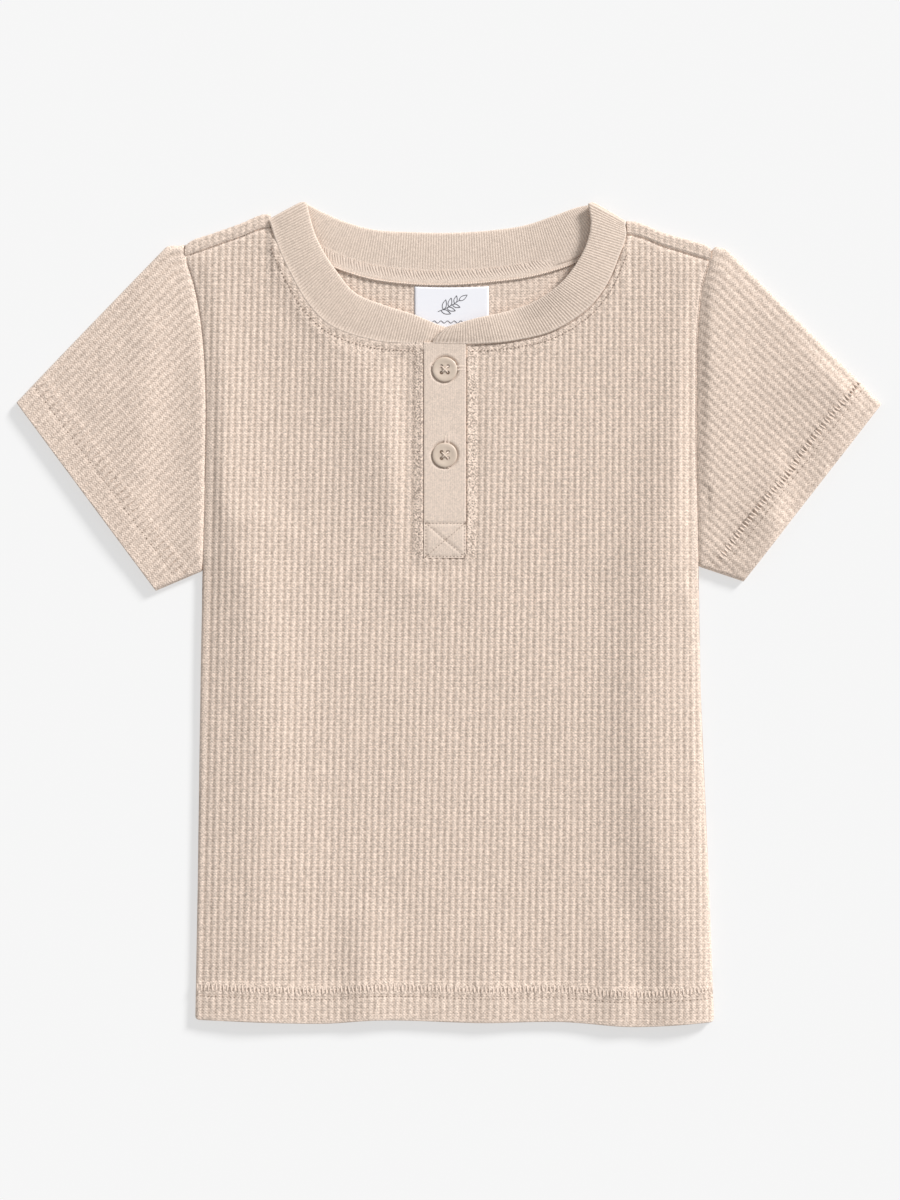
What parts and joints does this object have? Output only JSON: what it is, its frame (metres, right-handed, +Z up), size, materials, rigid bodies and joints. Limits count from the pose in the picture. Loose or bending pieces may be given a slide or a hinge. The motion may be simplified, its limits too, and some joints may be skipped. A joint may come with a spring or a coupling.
{
  "type": "toddler henley shirt laid flat",
  "caption": "Short-sleeved waffle-knit toddler henley with crew neckband and buttoned placket, laid flat on its back.",
  "frame": {"origin": "under the middle of the box that holds the laid-out garment, on the surface it lies on", "axes": "+Z up off the surface, +Y from the hem to the neck, +X towards the wearer's left sleeve"},
  "size_m": [0.3896, 0.3725, 0.0075],
  "materials": {
    "waffle_knit": "beige cotton waffle knit, matte",
    "band_knit": "beige fine-wale cotton knit, matte",
    "button_resin": "beige resin, satin",
    "label_satin": "white woven satin"
  },
  "bodies": {
    "root": {"back_panel": "waffle_knit", "front_panel": "waffle_knit", "sleeve_wearer_right": "waffle_knit", "sleeve_wearer_left": "waffle_knit", "neckband": "band_knit", "neck_tape": "band_knit", "placket_under": "band_knit", "placket_over": "band_knit", "button_upper": "button_resin", "button_lower": "button_resin", "label": "label_satin"}
  },
  "joints": []
}
